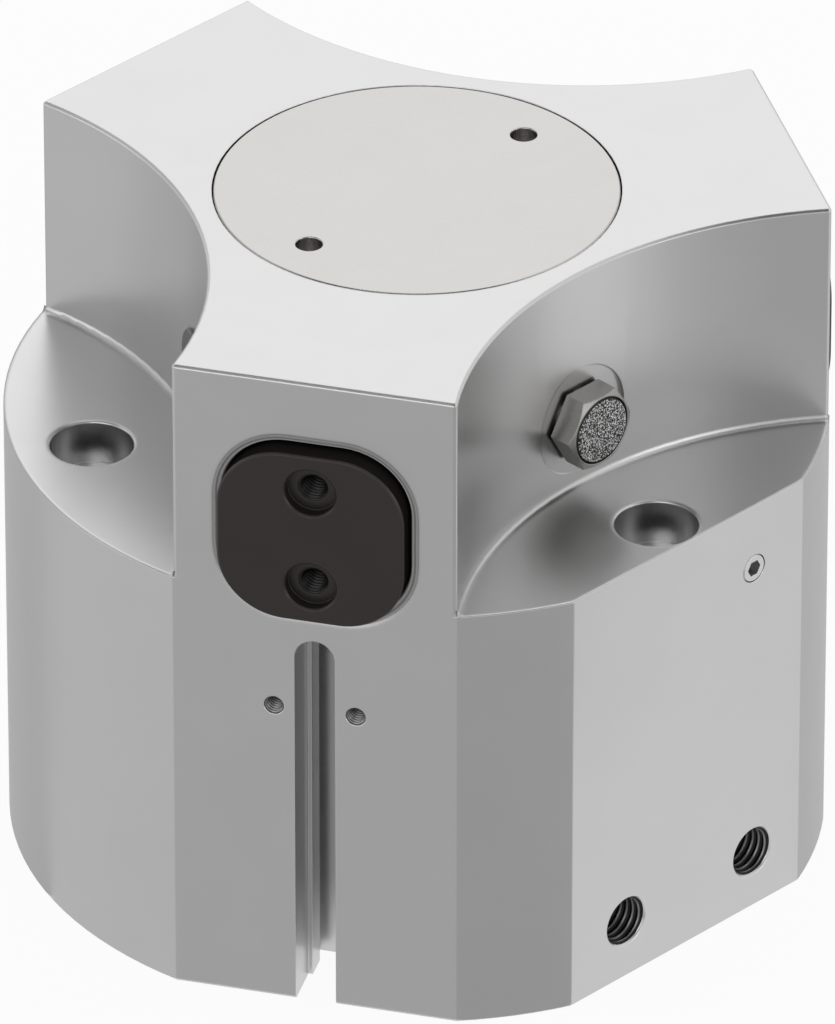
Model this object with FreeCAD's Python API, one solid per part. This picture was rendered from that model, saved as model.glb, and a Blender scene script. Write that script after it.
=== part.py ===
import FreeCAD, Part
import math
import os
from FreeCAD import Vector

# Three-jaw concentric gripper, driven by compressed air. All sizes in millimetres.
# Origin at the centre of the mounting face, +Z along the gripper axis.
# Jaw 1 faces -Y, jaws 2 and 3 follow every 120 degrees; the recesses lie between them.
# The piston stands at the bottom of its bore, which is the closed position.

# outline of the housing
body_wall = 15.0          # round side to the cylinder bore
lobe_half = 14.0          # half width of the flat on each jaw lobe
recess_floor_r = 22.04    # nearest point of a recess wall to the axis
shoulder_rise = 2.05      # shoulder above the floor of the jaw bores
port_flat_in = 3.2        # flat with the air ports, behind the round side
edge_round = 0.4          # upright outer edges
rim_edge = 0.25           # broken edges of the top and the mounting face
foot_round = 0.5          # hollow corner where a recess wall meets its shoulder

jaw_angles = (-90.0, 30.0, 150.0)
port_angle = -30.0        # recess above the port flat
plug_angle = 210.0        # recess with the blanking plug
gap_angles = (port_angle, 90.0, plug_angle)

# stack along the axis, upwards from the mounting face
ring_inset = 0.4          # retaining ring under the face
ring_t = 1.2
ring_play = 0.05
cap_t = 3.4
lower_stand = 1.65        # lower bumper above the end cap
stop_gap = 0.05           # piston to a bumper at either end
piston_t = 18.0
stroke = 12.0
upper_stand = 2.95        # upper bumper under the roof
deck_t = 4.2              # roof of the cylinder to the floor of the jaw bores
hub_floor_gap = 0.3
hub_t = 10.0
hub_top_gap = 0.3
cover_t = 3.0

# cylinder
bore_r = 25.0
cap_step = 1.0            # end cap bore over the cylinder bore
cap_gap = 0.1             # end cap and its seal in their bore
ring_groove_d = 1.0
boss_r = 12.5             # guide boss of the rod, hanging from the roof
boss_drop = 5.7
pocket_gap = 1.0          # piston pocket round the boss
pocket_rest = 1.3         # pocket floor to the boss at full stroke
run_gap = 0.08            # sliding fits
seat_gap = 0.03           # pieces held in their seats
rod_r = 7.0
bush_wall = 1.5
bush_len = 5.4
rod_seal_t = 3.0
rod_seal_w = 3.0
rod_seal_lip = 1.0        # boss wall below the rod seal

# piston and its rings
piston_gap = 0.3
seal_w = 3.4              # radial depth of a piston seal
seal_t = 3.0
seal_edge = 1.5           # piston edge to its seal groove
guide_w = 1.6
guide_t = 4.0
magnet_w = 3.2
magnet_t = 2.2
magnet_drop = 0.5         # magnet below the piston skin
land = 1.2                # between two grooves

# wedge drive
wedge = 0.5               # jaw travel for each unit of piston travel
jaw_tip_r = 4.5           # top of a jaw's sloping face to the axis
wedge_gap = 0.1
hook_gap = 0.1
neck_half = 3.5
neck_d = 2.0
hook_half = 5.8
hook_t = 1.8
hub_r = 17.8
cavity_gap = 0.4

# base jaws
jaw_half = 9.2
jaw_corner = 6.5
jaw_proud = 1.54          # jaw face in front of the lobe flat, closed
jaw_edge = 0.2
lip_r = 1.22              # rounded mouth of the jaw bore
jaw_hole_pitch = 10.4
locate_r = 2.5
locate_d = 1.2
m3_r = 1.5
jaw_thread_d = 7.0

# cover
cover_r = 19.6
cover_gap = 0.12
cover_edge = 0.15
spanner_r = 1.3
spanner_at = 14.55
spanner_d = 2.0
spanner_edge = 0.08
spanner_angle = 60.0
cover_seal_w = 1.1
cover_seal_t = 1.2
cover_seal_rise = 0.5

# through screws from the shoulder to the mounting face
mount_wall = 3.25         # seat of the retaining ring to a screw hole
head_bore_r = 4.05
head_bore_d = 4.55
head_edge = 0.15
through_r = 2.15
dowel_r = 2.0
dowel_d = 6.0
dowel_wall = 5.8          # seat of the retaining ring to a dowel hole
dowel_turn = 24.0         # dowel holes either side of the back screw hole

# sensor slot on each lobe, open at the mounting face
slot_half = 2.0
slot_neck_half = 1.55
slot_neck_t = 2.5
slot_foot_half = 2.15
slot_foot_t = 1.8
slot_wall = 1.57          # seat of the retaining ring to the slot's foot
slot_top = 41.0
m2_r = 1.0
m2_d = 4.0
m2_side = 4.04
m2_z = 33.2

# air ports and channels
m5_r = 2.5
port_d = 6.0
port_edge = 0.21
port_z = 6.37
port_sides = (-8.2, 9.25)
channel_r = 1.25
riser_wall = 2.13         # seat of the retaining ring to the riser's plug
plug_side = 9.0
plug_z = 38.9
plug_len = 4.0
plug_thread_gap = 0.06
plug_end_gap = 0.2
hex_socket_af = 1.5
hex_socket_d = 1.5
riser_plug_r = 1.5
riser_plug_t = 2.8
riser_plug_in = 0.4       # plug of the riser behind the mounting face

# silencer in the right recess, blanking plug in the left one
spot_r = 5.65
vent_seat_gap = 0.15
silencer_af = 7.4
silencer_t = 3.0
silencer_neck = 0.35
silencer_bore_r = 1.5
disc_r = 3.4
disc_t = 1.6
disc_proud = 0.12
blank_r = 3.6
blank_t = 0.5
blank_af = 2.5
blank_socket_d = 1.4

# screws on the axis
m6_r = 3.0
m6_len = 15.0
m6_head_r = 5.0
m6_head_t = 4.0
m6_gap = 0.2
m6_af = 4.0
m6_socket_d = 2.4
thread_gap = 0.05
pin_r = 1.0
pin_len = 6.0
pin_at = 5.1
pin_gap = 0.03
rod_seat_d = 1.0
rod_foot_d = 2.0
rod_seal_d = 1.4          # static seal between rod and piston

# lower end
lower_in_r = 15.0
lower_w = 4.0
lower_seat_d = 1.0
upper_w = 3.4
cap_seal_w = 1.45
cap_seal_t = 1.9
ring_w = 2.6
lug_r = 2.6
lug_hole_r = 1.0
ring_open = 9.0           # half the angle of the ring's opening

# heights that follow from the stack
cap_z = ring_inset + ring_t + ring_play
bore_z = cap_z + cap_t
piston_z = bore_z + lower_stand + stop_gap
roof_z = piston_z + piston_t + stroke + stop_gap + upper_stand
boss_z = roof_z - boss_drop
floor_z = roof_z + deck_t
jaw_bore_half = jaw_half + run_gap
jaw_bore_corner = jaw_corner + run_gap
jaw_z = floor_z + jaw_bore_half
jaw_top = jaw_z + jaw_half
shoulder_z = floor_z + shoulder_rise
hub_z = floor_z + hub_floor_gap
cover_z = hub_z + hub_t + stroke + hub_top_gap
body_h = cover_z + cover_t
body_r = bore_r + body_wall
port_flat_r = body_r - port_flat_in
flat_r = math.sqrt(body_r ** 2 - lobe_half ** 2)
jaw_face_r = flat_r + jaw_proud
cap_bore_r = bore_r + cap_step
ring_seat_r = cap_bore_r + ring_groove_d
mount_at = ring_seat_r + mount_wall + through_r
dowel_at = ring_seat_r + dowel_wall + dowel_r
slot_floor_r = ring_seat_r + slot_wall
pocket_r = boss_r + pocket_gap
pocket_d = boss_drop - upper_stand - stop_gap + pocket_rest
piston_r = bore_r - piston_gap
ring_r = bore_r - run_gap
cavity_r = hub_r + cavity_gap
rod_foot_z = piston_z + piston_t - pocket_d - rod_foot_d
rod_top = hub_z + rod_seat_d
rod_seal_z = boss_z + rod_seal_lip
riser_at = ring_seat_r + riser_wall + riser_plug_r
riser_r = math.sqrt(riser_at ** 2 - port_sides[1] ** 2)
overrun = 1.0             # tools past the face that they cut


def direction(angle):
    a = math.radians(angle)
    return Vector(math.cos(a), math.sin(a), 0)


# point from its distance along a spoke, its offset to the left of it and its height
def spot(angle, out, side, z):
    return direction(angle) * out + direction(angle + 90) * side + Vector(0, 0, z)


def turned_about_z(shape, angle):
    copy = shape.copy()
    copy.rotate(Vector(0, 0, 0), Vector(0, 0, 1), angle)
    return copy


# a piece drawn on the front lobe, which faces -Y, carried to another spoke
def to_spoke(shape, angle):
    return turned_about_z(shape, angle + 90.0)


# solid of revolution about Z from (radius, height) points
def turned(points):
    corners = [Vector(r, 0, z) for r, z in points]
    face = Part.Face(Part.makePolygon(corners + corners[:1]))
    return face.revolve(Vector(0, 0, 0), Vector(0, 0, 1), 360)


def ring(r_in, r_out, z, t):
    return turned([(r_in, z), (r_out, z), (r_out, z + t), (r_in, z + t)])


# ring with its outer corners broken at both ends
def soft_ring(r_in, r_out, z, t, c):
    return turned([(r_in, z), (r_out - c, z), (r_out, z + c), (r_out, z + t - c), (r_out - c, z + t),
                   (r_in, z + t)])


# lip seal: a ring with a groove between two lips on the side under pressure
def lip_seal(r_in, r_out, z, t, up):
    middle = (r_in + r_out) / 2
    cup = [(r_in, 0), (r_out, 0), (r_out, t), (middle, t / 2), (r_in, t)]
    return turned([(r, z + h if up else z + t - h) for r, h in cup])


def aimed(shape, mouth, axis):
    copy = shape.copy()
    copy.Placement = FreeCAD.Placement(mouth, FreeCAD.Rotation(Vector(0, 0, 1), axis))
    return copy


# hole from its mouth inwards: (radius, depth) steps and a broken mouth
def bored(mouth, axis, steps, chamfer=0.0, lead=1.0):
    first = steps[0][0]
    line = [(0, -lead), (first + chamfer, -lead), (first + chamfer, 0)]
    if chamfer:
        line.append((first, chamfer))
    for i, (r, depth) in enumerate(steps):
        line.append((r, depth))
        if i + 1 < len(steps):
            line.append((steps[i + 1][0], depth))
    line.append((0, steps[-1][1]))
    return aimed(turned(line), mouth, axis)


def hexagon(af, t):
    corner = af / math.sqrt(3.0)
    ends = [Vector(corner * math.cos(math.radians(60 * i)), corner * math.sin(math.radians(60 * i)), 0)
            for i in range(6)]
    return Part.Face(Part.makePolygon(ends + ends[:1])).extrude(Vector(0, 0, t))


# square with round corners, upright in the XZ plane at the given y
def soft_square(half, corner, y, z):
    flat = half - corner
    knee = corner * math.sqrt(0.5)
    edges = []
    for i in range(4):
        c, s = (1, 0, -1, 0)[i], (0, 1, 0, -1)[i]
        def place(x, h):
            return Vector(c * x - s * h, y, z + s * x + c * h)
        edges.append(Part.makeLine(place(half, -flat), place(half, flat)))
        arc = Part.Arc(place(half, flat), place(flat + knee, flat + knee), place(flat, half))
        edges.append(arc.toShape())
    return Part.Face(Part.Wire(edges))


# outline of the lower part: a circle with one chord for each flat
def lower_outline():
    flats = [(a, math.degrees(math.asin(lobe_half / body_r))) for a in jaw_angles]
    flats.append((port_angle, math.degrees(math.acos(port_flat_r / body_r))))
    flats.sort()
    edges = []
    for i, (angle, half) in enumerate(flats):
        after, after_half = flats[(i + 1) % len(flats)]
        end = direction(angle + half) * body_r
        if after < angle:
            after += 360.0
        begin = direction(after - after_half) * body_r
        middle = direction((angle + half + after - after_half) / 2) * body_r
        edges.append(Part.makeLine(direction(angle - half) * body_r, end))
        edges.append(Part.Arc(end, middle, begin).toShape())
    return Part.Face(Part.Wire(edges))


# outline of the upper part: three flats joined by three hollow arcs
def upper_outline():
    edges = []
    for i, angle in enumerate(jaw_angles):
        after = jaw_angles[(i + 1) % 3]
        left = spot(angle, flat_r, -lobe_half, 0)
        right = spot(angle, flat_r, lobe_half, 0)
        next_left = spot(after, flat_r, -lobe_half, 0)
        hollow = direction(angle + 60.0) * recess_floor_r
        edges.append(Part.makeLine(left, right))
        edges.append(Part.Arc(right, hollow, next_left).toShape())
    return Part.Face(Part.Wire(edges))


# hollow corner at the foot of one recess wall, turned about the centre of the wall's arc
def foot_corner(angle):
    half = math.radians(60.0) - math.asin(lobe_half / body_r)
    far, across = body_r * math.cos(half), body_r * math.sin(half)
    centre = (far ** 2 + across ** 2 - recess_floor_r ** 2) / (2 * (far - recess_floor_r))
    wall = centre - recess_floor_r
    near = wall - foot_round
    knee = foot_round * (1 - math.sqrt(0.5))
    foot = Part.makeLine(Vector(near, 0, 0), Vector(wall, 0, 0))
    back = Part.makeLine(Vector(wall, 0, 0), Vector(wall, 0, foot_round))
    bow = Part.Arc(Vector(wall, 0, foot_round), Vector(wall - knee, 0, knee), Vector(near, 0, 0)).toShape()
    corner = Part.Face(Part.Wire([foot, back, bow])).revolve(Vector(0, 0, 0), Vector(0, 0, 1), 360)
    corner.translate(direction(angle) * centre + Vector(0, 0, shoulder_z))
    return corner


def upright_edges(solid):
    return [e for e in solid.Edges
            if abs(e.Vertexes[0].Z - e.Vertexes[-1].Z) > 1.0 and len(e.Vertexes) == 2]


def level_edges(solid, z, clear_r):
    picked = []
    for e in solid.Edges:
        box = e.BoundBox
        middle = e.valueAt((e.FirstParameter + e.LastParameter) / 2)
        if abs(box.ZMin - z) < 0.001 and abs(box.ZMax - z) < 0.001:
            if math.hypot(middle.x, middle.y) > clear_r:
                picked.append(e)
    return picked


# mouth edges of the jaw bores, which lie in the lobe flats
def mouth_edges(solid):
    picked = []
    reach = jaw_bore_half + 0.01
    for e in solid.Edges:
        for angle in jaw_angles:
            out, across = direction(angle), direction(angle + 90)
            ends = [v.Point for v in e.Vertexes]
            if all(abs(p.dot(out) - flat_r) < 0.001 and abs(p.dot(across)) < reach
                   and abs(p.z - jaw_z) < reach for p in ends):
                picked.append(e)
    return picked


# cut for one sensor slot: wide mouth, narrow neck, undercut foot, round upper end
def slot_tool():
    parts = []
    neck_r = slot_floor_r + slot_foot_t
    mouth_r = neck_r + slot_neck_t
    z = slot_top - slot_half
    layers = ((slot_foot_half, slot_floor_r, neck_r), (slot_neck_half, neck_r, mouth_r),
              (slot_half, mouth_r, flat_r + overrun))
    for half, near, far in layers:
        block = Part.makeBox(2 * half, far - near, z + overrun, Vector(-half, -far, -overrun))
        bow = Part.makeCylinder(half, far - near, Vector(0, -far, z), Vector(0, 1, 0))
        parts.append(block.fuse(bow))
    return parts[0].fuse(parts[1:])


# inside of the cylinder, the end cap bore and the ring groove, round the guide boss
def cylinder_tool():
    return turned([(0, -1), (cap_bore_r, -1), (cap_bore_r, ring_inset),
                   (ring_seat_r, ring_inset), (ring_seat_r, cap_z),
                   (cap_bore_r, cap_z), (cap_bore_r, bore_z), (bore_r, bore_z), (bore_r, roof_z),
                   (boss_r, roof_z), (boss_r, boss_z), (0, boss_z)])


# rod bore with the groove of its seal and the seat of its bush
def rod_tool():
    bush_r = rod_r + run_gap + bush_wall + seat_gap
    seal_r = rod_r + rod_seal_w + seat_gap
    hole_r = rod_r + run_gap * 2
    top = rod_seal_z + rod_seal_t + 2 * seat_gap
    return turned([(0, boss_z - 1), (hole_r, boss_z - 1), (hole_r, rod_seal_z), (seal_r, rod_seal_z),
                   (seal_r, top), (hole_r, top), (hole_r, floor_z - bush_len), (bush_r, floor_z - bush_len),
                   (bush_r, floor_z + 1), (0, floor_z + 1)])


# room for the hub above the deck, and the seat of the cover
def cavity_tool():
    seat_r = cover_r + cover_gap
    return turned([(0, floor_z), (cavity_r, floor_z), (cavity_r, cover_z), (seat_r, cover_z),
                   (seat_r, body_h + overrun), (0, body_h + overrun)])


def port_tools():
    inward = direction(port_angle) * -1.0
    tools = []
    # the first port leads straight under the piston, the second into a riser
    straight = port_flat_r - math.sqrt(bore_r ** 2 - port_sides[0] ** 2)
    for side, reach in zip(port_sides, (straight + overrun, port_flat_r - riser_r)):
        mouth = spot(port_angle, port_flat_r, side, port_z)
        tools.append(bored(mouth, inward, [(m5_r, port_d), (channel_r, reach)], port_edge))
    # the riser leads over the piston, with a plug in each drilled end
    foot = spot(port_angle, riser_r, port_sides[1], 0)
    tools.append(bored(foot, Vector(0, 0, 1),
                       [(riser_plug_r + seat_gap, riser_plug_in + riser_plug_t), (channel_r, plug_z)]))
    cross = port_flat_r - math.sqrt(bore_r ** 2 - plug_side ** 2)
    tools.append(bored(spot(port_angle, port_flat_r, plug_side, plug_z), inward,
                       [(m3_r, plug_len + plug_end_gap), (channel_r, cross + overrun)]))
    return tools


def vent_tools():
    tools = []
    wall = recess_floor_r - cavity_r
    for angle, seat in ((port_angle, spot_r), (plug_angle, blank_r + vent_seat_gap)):
        mouth = spot(angle, recess_floor_r, 0, jaw_z)
        tools.append(bored(mouth, direction(angle) * -1.0, [(m5_r, wall + overrun)]))
        tools.append(Part.makeCylinder(seat, body_r, mouth, direction(angle)))
    return tools


def mounting_tools():
    tools = []
    for angle in gap_angles:
        top = spot(angle, mount_at, 0, shoulder_z)
        tools.append(bored(top, Vector(0, 0, -1),
                           [(head_bore_r, head_bore_d), (through_r, shoulder_z + overrun)], head_edge))
    for turn in (-dowel_turn, dowel_turn):
        tools.append(bored(spot(90.0 + turn, dowel_at, 0, 0), Vector(0, 0, 1),
                           [(dowel_r, dowel_d)]))
    return tools


def lobe_tools():
    tools = []
    for angle in jaw_angles:
        tools.append(to_spoke(slot_tool(), angle))
        for side in (-m2_side, m2_side):
            mouth = spot(angle, flat_r, side, m2_z)
            tools.append(bored(mouth, direction(angle) * -1.0, [(m2_r, m2_d)]))
    return tools


def housing():
    lower = lower_outline().extrude(Vector(0, 0, shoulder_z + foot_round))
    lower = lower.makeFillet(edge_round, upright_edges(lower))
    corners = [foot_corner(angle).common(lower) for angle in gap_angles]
    lower = lower.common(Part.makeCylinder(body_r + overrun, shoulder_z))
    upper = upper_outline().extrude(Vector(0, 0, body_h))
    upper = upper.makeFillet(edge_round, upright_edges(upper))
    body = lower.fuse([upper] + corners).removeSplitter()
    bore = soft_square(jaw_bore_half, jaw_bore_corner, 0, jaw_z).extrude(Vector(0, -body_r - overrun, 0))
    body = body.cut([to_spoke(bore, angle) for angle in jaw_angles])
    body = body.makeFillet(lip_r, mouth_edges(body))
    rims = level_edges(body, body_h, recess_floor_r - 0.5) + level_edges(body, 0.0, port_flat_r - 1.0)
    body = body.makeChamfer(rim_edge, rims)
    body = body.cut([cylinder_tool(), cavity_tool(), rod_tool()])
    body = body.cut(port_tools() + vent_tools() + mounting_tools() + lobe_tools())
    return body.removeSplitter()


# distance of the jaws' sloping faces from the axis, closed
def slope_r(z):
    return jaw_tip_r + wedge * (jaw_top - z)


# block between two heights whose section slides towards the axis as it rises
def leaning(points, z, t):
    corners = [Vector(x, -r, z) for x, r in points]
    face = Part.Face(Part.makePolygon(corners + corners[:1]))
    return face.extrude(Vector(0, wedge * t, t))


# the hook of one jaw: a tee whose neck stands on the hub's face
def hook(z, t, face_r, grow):
    neck, head = neck_half + grow, hook_half + grow
    under, over = neck_d - grow, neck_d + hook_t + grow
    root = face_r - 1.0
    return leaning([(-neck, root), (neck, root), (neck, face_r + under), (head, face_r + under),
                    (head, face_r + over), (-head, face_r + over), (-head, face_r + under),
                    (-neck, face_r + under)], z, t)


def base_jaw(angle):
    low = jaw_z - jaw_half
    t = 2 * jaw_half
    jaw = soft_square(jaw_half, jaw_corner, 0, jaw_z).extrude(Vector(0, -jaw_face_r, 0))
    front = [e for e in jaw.Edges if e.BoundBox.YMax < -jaw_face_r + 0.001]
    jaw = jaw.makeChamfer(jaw_edge, front)
    width = jaw_half + 1.0
    away = leaning([(-width, slope_r(low - 1) - 4 * jaw_half), (width, slope_r(low - 1) - 4 * jaw_half),
                    (width, slope_r(low - 1)), (-width, slope_r(low - 1))], low - 1, t + 2)
    tee = hook(low - 1, t + 2, slope_r(low - 1) - wedge_gap, hook_gap)
    holes = []
    for z in (jaw_z - jaw_hole_pitch / 2, jaw_z + jaw_hole_pitch / 2):
        holes.append(bored(Vector(0, -jaw_face_r, z), Vector(0, 1, 0),
                           [(locate_r, locate_d), (m3_r, locate_d + jaw_thread_d)], jaw_edge))
    return to_spoke(jaw.cut([away, tee] + holes), angle)


# driver: a cone of three faces with a hook on each, under a central screw
def driver_hub():
    face_r = slope_r(hub_z) - wedge_gap
    sides = []
    for reach in (face_r, face_r - wedge * hub_t):
        z = hub_z if not sides else hub_z + hub_t
        corners = [direction(a + 60.0) * (2 * reach) + Vector(0, 0, z) for a in jaw_angles]
        sides.append(Part.makePolygon(corners + corners[:1]))
    core = Part.makeLoft(sides, True, True)
    hooks = [to_spoke(hook(hub_z, hub_t, face_r, 0.0), a) for a in jaw_angles]
    blank = core.fuse(hooks).common(Part.makeCylinder(hub_r, hub_t, Vector(0, 0, hub_z)))
    top = Vector(0, 0, hub_z + hub_t)
    head = bored(top, Vector(0, 0, -1), [(m6_head_r + m6_gap, m6_head_t + m6_gap),
                                         (m6_r + m6_gap, hub_t + 1)])
    seat = Part.makeCylinder(rod_r + seat_gap, rod_seat_d, Vector(0, 0, hub_z))
    pin = Part.makeCylinder(pin_r + pin_gap, pin_len / 2 + 0.2, Vector(0, pin_at, rod_top))
    return blank.cut([head, seat, pin]).removeSplitter()


# low-head screw with a hexagon socket, head up, its shank going down
def axis_screw(head_z, length):
    c = 0.3
    shank_r = m6_r - thread_gap
    body = turned([(0, head_z - length), (shank_r, head_z - length), (shank_r, head_z), (m6_head_r, head_z),
                   (m6_head_r, head_z + m6_head_t - c), (m6_head_r - c, head_z + m6_head_t),
                   (0, head_z + m6_head_t)])
    socket = hexagon(m6_af, m6_socket_d + 1.0)
    socket.translate(Vector(0, 0, head_z + m6_head_t - m6_socket_d))
    return body.cut(socket)


# underside of the head of each screw
def hub_screw_z():
    return hub_z + hub_t - m6_head_t - m6_gap


def piston_screw_z():
    return piston_z + m6_head_t + m6_gap


# depth of the tapped hole that takes the rest of a screw past its clearance hole
def screw_reach(upper, lower):
    return m6_len - (upper - lower) + m6_gap * 2


def hub_screw():
    return axis_screw(hub_screw_z(), m6_len)


def piston_screw():
    screw = axis_screw(0.0, m6_len)
    screw.rotate(Vector(0, 0, 0), Vector(1, 0, 0), 180)
    screw.translate(Vector(0, 0, piston_screw_z()))
    return screw


def alignment_pin():
    return Part.makeCylinder(pin_r, pin_len, Vector(0, pin_at, rod_top - pin_len / 2))


def piston_rod():
    c = 0.5
    bar = turned([(0, rod_foot_z), (rod_r, rod_foot_z), (rod_r, rod_top - c), (rod_r - c, rod_top),
                  (0, rod_top)])
    upper = bored(Vector(0, 0, rod_top), Vector(0, 0, -1), [(m6_r, screw_reach(hub_screw_z(), rod_top))])
    lower = bored(Vector(0, 0, rod_foot_z), Vector(0, 0, 1),
                  [(m6_r, screw_reach(rod_foot_z, piston_screw_z()))])
    pin_foot = Vector(0, pin_at, rod_top - pin_len / 2 - 0.2)
    pin = Part.makeCylinder(pin_r + pin_gap, pin_len / 2 + 1.2, pin_foot)
    return bar.cut([upper, lower, pin])


# heights of the grooves round the piston, from its lower edge
def groove_heights():
    lower = piston_z + seal_edge
    upper = piston_z + piston_t - seal_edge - seal_t
    guide = lower + seal_t + land
    magnet = guide + guide_t + land
    return lower, guide, magnet, upper


def piston():
    c = 0.5
    top = piston_z + piston_t
    pocket_z = top - pocket_d
    body = turned([(0, piston_z), (piston_r - c, piston_z), (piston_r, piston_z + c), (piston_r, top),
                   (pocket_r, top), (pocket_r, pocket_z), (0, pocket_z)])
    lower, guide, magnet, upper = groove_heights()
    play = 2 * seat_gap
    cuts = [ring(ring_r - seal_w - seat_gap, bore_r, lower, seal_t + play),
            ring(ring_r - seal_w - seat_gap, bore_r, upper - play, seal_t + play),
            ring(ring_r - guide_w - seat_gap, bore_r, guide, guide_t + play),
            ring(piston_r - magnet_drop - magnet_w - seat_gap, bore_r, magnet, magnet_t + play),
            Part.makeCylinder(rod_r + seat_gap, rod_foot_d, Vector(0, 0, rod_foot_z)),
            ring(rod_r - 0.5, rod_r + rod_seal_d, rod_foot_z, rod_seal_d),
            bored(Vector(0, 0, piston_z), Vector(0, 0, 1),
                  [(m6_head_r + m6_gap, m6_head_t + m6_gap), (m6_r + m6_gap, piston_t)])]
    return body.cut(cuts)


def piston_seals():
    lower, guide, magnet, upper = groove_heights()
    first = lip_seal(ring_r - seal_w, ring_r, lower + seat_gap, seal_t, False)
    second = lip_seal(ring_r - seal_w, ring_r, upper - seat_gap, seal_t, True)
    return Part.makeCompound([first, second])


def piston_guide_ring():
    return ring(ring_r - guide_w, ring_r, groove_heights()[1] + seat_gap, guide_t)


def piston_magnet():
    outer = piston_r - magnet_drop
    return ring(outer - magnet_w, outer, groove_heights()[2] + seat_gap, magnet_t)


def rod_joint_seal():
    return ring(rod_r + seat_gap, rod_r + rod_seal_d - seat_gap, rod_foot_z + seat_gap,
                rod_seal_d - 2 * seat_gap)


def rod_bush():
    r_in = rod_r + run_gap
    return soft_ring(r_in, r_in + bush_wall, floor_z - bush_len + seat_gap, bush_len - seat_gap, 0.3)


def rod_seal():
    return lip_seal(rod_r + run_gap, rod_r + rod_seal_w, rod_seal_z + seat_gap, rod_seal_t, False)


def upper_bumper():
    z = roof_z - upper_stand
    return soft_ring(boss_r + seat_gap, boss_r + upper_w, z, upper_stand, 0.4)


def lower_bumper():
    z = bore_z - lower_seat_d
    return soft_ring(lower_in_r, lower_in_r + lower_w, z, lower_seat_d + lower_stand, 0.4)


def end_cap():
    groove_z = cap_z + (cap_t - cap_seal_t) / 2
    disc = Part.makeCylinder(cap_bore_r - cap_gap, cap_t, Vector(0, 0, cap_z))
    groove = ring(cap_bore_r - cap_seal_w - seat_gap, cap_bore_r + 1, groove_z - seat_gap,
                  cap_seal_t + 2 * seat_gap)
    seat = ring(lower_in_r - seat_gap, lower_in_r + lower_w + seat_gap, bore_z - lower_seat_d, 2.0)
    return disc.cut([groove, seat])


def end_cap_seal():
    z = cap_z + (cap_t - cap_seal_t) / 2
    return ring(cap_bore_r - cap_seal_w, cap_bore_r - seat_gap, z, cap_seal_t)


# open ring with two drilled lugs beside its opening
def retaining_ring():
    outer = ring_seat_r - cap_gap
    band = ring(outer - ring_w, outer, ring_inset, ring_t)
    lugs = []
    holes = []
    for side in (-1, 1):
        angle = 90.0 + side * (ring_open + math.degrees(lug_r / outer) * 0.9)
        centre = spot(angle, outer - ring_w - lug_r * 0.45, 0, ring_inset)
        lugs.append(Part.makeCylinder(lug_r, ring_t, centre))
        holes.append(Part.makeCylinder(lug_hole_r, ring_t + 2, centre - Vector(0, 0, 1)))
    reach = 2 * outer
    wedge_cut = Part.Face(Part.makePolygon([Vector(0, 0, 0), direction(90.0 - ring_open) * reach,
                                            direction(90.0 + ring_open) * reach, Vector(0, 0, 0)]))
    opening = wedge_cut.extrude(Vector(0, 0, ring_t + 2))
    opening.translate(Vector(0, 0, ring_inset - 1))
    whole = Part.makeCylinder(outer, ring_t, Vector(0, 0, ring_inset))
    return band.fuse(lugs).common(whole).cut([opening] + holes).removeSplitter()


def cover_cap():
    c = cover_edge
    top = body_h
    groove_z = cover_z + cover_seal_rise
    groove_r = cover_r + cover_gap - cover_seal_w - seat_gap
    disc = turned([(0, cover_z), (cover_r, cover_z), (cover_r, groove_z - seat_gap),
                   (groove_r, groove_z - seat_gap), (groove_r, groove_z + cover_seal_t + seat_gap),
                   (cover_r, groove_z + cover_seal_t + seat_gap), (cover_r, top - c), (cover_r - c, top),
                   (0, top)])
    cuts = [bored(spot(spanner_angle + turn, spanner_at, 0, top), Vector(0, 0, -1),
                  [(spanner_r, spanner_d)], spanner_edge) for turn in (0.0, 180.0)]
    return disc.cut(cuts)


def cover_seal():
    outer = cover_r + cover_gap
    return ring(outer - cover_seal_w, outer - seat_gap, cover_z + cover_seal_rise, cover_seal_t)


# silencer: hexagon with a broken front edge, undercut at the wall, threaded shank
def silencer_body():
    hexa = hexagon(silencer_af, silencer_t - silencer_neck)
    hexa.translate(Vector(0, 0, silencer_neck))
    corner = silencer_af / math.sqrt(3.0)
    front_r = silencer_af / 2 - 0.05
    slope = (corner - front_r) * 0.75
    bevel = turned([(0, 0), (corner + 0.1, 0), (corner + 0.1, silencer_t - slope),
                    (front_r, silencer_t), (0, silencer_t)])
    neck = Part.makeCylinder(silencer_af / 2 - 0.35, silencer_neck)
    wall = recess_floor_r - cavity_r
    shank = Part.makeCylinder(m5_r - thread_gap, wall, Vector(0, 0, -wall))
    seat = Part.makeCylinder(disc_r + 0.1, disc_t, Vector(0, 0, silencer_t + disc_proud - disc_t))
    through = Part.makeCylinder(silencer_bore_r, wall + silencer_t + 2 * overrun, Vector(0, 0, -wall - overrun))
    local = hexa.common(bevel).fuse([neck, shank]).cut([seat, through]).removeSplitter()
    turn = FreeCAD.Rotation(Vector(0, 0, 1), direction(port_angle))
    local.Placement = FreeCAD.Placement(spot(port_angle, recess_floor_r, 0, jaw_z), turn)
    return local


def silencer_disc():
    z = silencer_t + disc_proud - disc_t
    c = 0.25
    dome = turned([(0, z), (disc_r, z), (disc_r, z + disc_t - c), (disc_r - c, z + disc_t),
                   (0, z + disc_t)])
    return aimed(dome, spot(port_angle, recess_floor_r, 0, jaw_z), direction(port_angle))


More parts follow.
